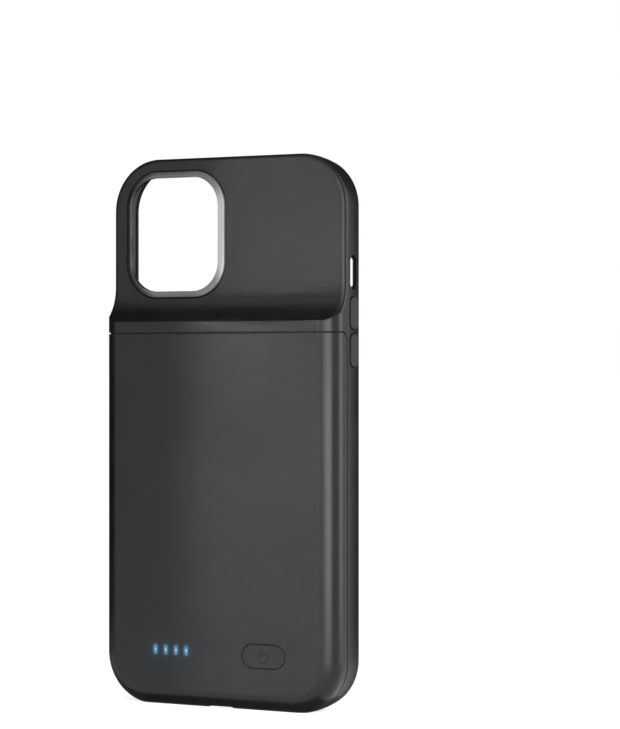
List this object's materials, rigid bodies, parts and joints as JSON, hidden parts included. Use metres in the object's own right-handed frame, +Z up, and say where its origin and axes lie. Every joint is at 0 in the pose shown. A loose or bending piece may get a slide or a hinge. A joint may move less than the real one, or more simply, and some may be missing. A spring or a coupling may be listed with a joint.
{
  "type": "back clip power bank",
  "caption": "Slim battery case that clips onto the back of a phone: open tray in front, camera window in a metal ring, scooped battery hump, charge lights and check button.",
  "frame": {"origin": "centre of the bounding box in X and Y, at the flat foot the case stands on", "axes": "+X to the right as seen from the back, +Y towards the open phone side (the battery hump faces -Y), +Z up"},
  "size_m": [0.076, 0.015, 0.1528],
  "materials": {
    "soft_shell": "matte",
    "hump_shell": "matte",
    "ring_metal": "satin",
    "cell_foil": "satin",
    "adhesive": "matte",
    "amber_film": "satin",
    "board": "satin",
    "screw": "satin",
    "chip": "matte",
    "ceramic": "satin",
    "plated": "satin",
    "black_plastic": "matte",
    "plug_metal": "satin",
    "red_wire": "matte",
    "black_wire": "matte",
    "switch_metal": "satin",
    "button": "matte",
    "led_body": "gloss",
    "lens": "gloss"
  },
  "bodies": {
    "case": {"bumper_frame": "soft_shell", "battery_cover": "hump_shell", "camera_ring": "ring_metal", "battery_cell": "cell_foil", "cell_sheet": "adhesive", "cell_board": "amber_film", "red_lead": "red_wire", "black_lead": "black_wire", "main_board": "board", "board_screws": "screw", "control_chip": "chip", "charge_chip": "chip", "power_coil": "chip", "capacitors": "ceramic", "charge_socket": "plated", "socket_tongue": "black_plastic", "phone_plug": "plug_metal", "plug_base": "black_plastic", "plug_flex": "amber_film", "switch_body": "switch_metal", "led_1": "led_body", "led_2": "led_body", "led_3": "led_body", "led_4": "led_body", "lens_1": "lens", "lens_2": "lens", "lens_3": "lens", "lens_4": "lens"},
    "power_press": {"power_button": "button", "switch_stem": "black_plastic"},
    "side_press": {"side_key": "button"},
    "volume_up_press": {"volume_up_key": "button"},
    "volume_down_press": {"volume_down_key": "button"}
  },
  "joints": [
    {"name": "power_button_press", "type": "slide", "parent": "case", "child": "power_press", "axis": [0, 1, 0], "range_m": [0, 0.00035], "stiffness_N_per_m": 600},
    {"name": "side_key_press", "type": "slide", "parent": "case", "child": "side_press", "axis": [1, 0, 0], "range_m": [0, 0.0003], "stiffness_N_per_m": 600},
    {"name": "volume_up_key_press", "type": "slide", "parent": "case", "child": "volume_up_press", "axis": [-1, 0, 0], "range_m": [0, 0.0003], "stiffness_N_per_m": 600},
    {"name": "volume_down_key_press", "type": "slide", "parent": "case", "child": "volume_down_press", "axis": [-1, 0, 0], "range_m": [0, 0.0003], "stiffness_N_per_m": 600}
  ]
}
